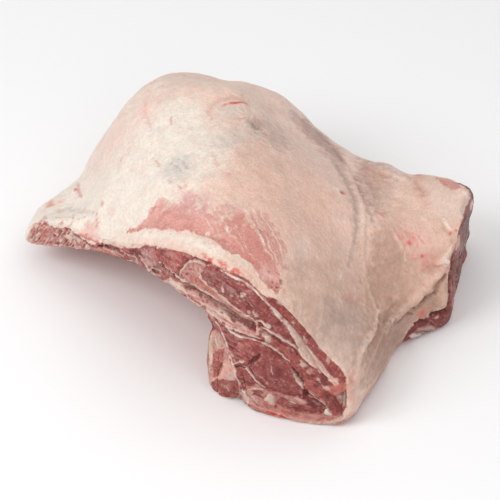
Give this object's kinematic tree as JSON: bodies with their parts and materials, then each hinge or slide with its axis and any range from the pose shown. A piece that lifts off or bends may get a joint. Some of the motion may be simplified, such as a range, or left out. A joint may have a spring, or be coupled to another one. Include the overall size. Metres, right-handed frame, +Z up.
{
  "type": "raw lamb forequarter roast",
  "caption": "Bone-in raw lamb forequarter roast lying on its sawn side, domed fat side up, with a cut face of lean, fat and bone over a rib hollow.",
  "frame": {"origin": "under the middle of the roast's bounding box, on the surface it lies on", "axes": "+X along the cut face from the breast to the back, +Y from the cut face to the neck, +Z up from the sawn side"},
  "size_m": [0.2748, 0.219, 0.1136],
  "materials": {
    "raw_meat": "satin",
    "backbone": "matte",
    "blade_bone": "matte"
  },
  "bodies": {
    "root": {"meat": "raw_meat", "backbone": "backbone", "blade_bone": "blade_bone"}
  },
  "joints": []
}
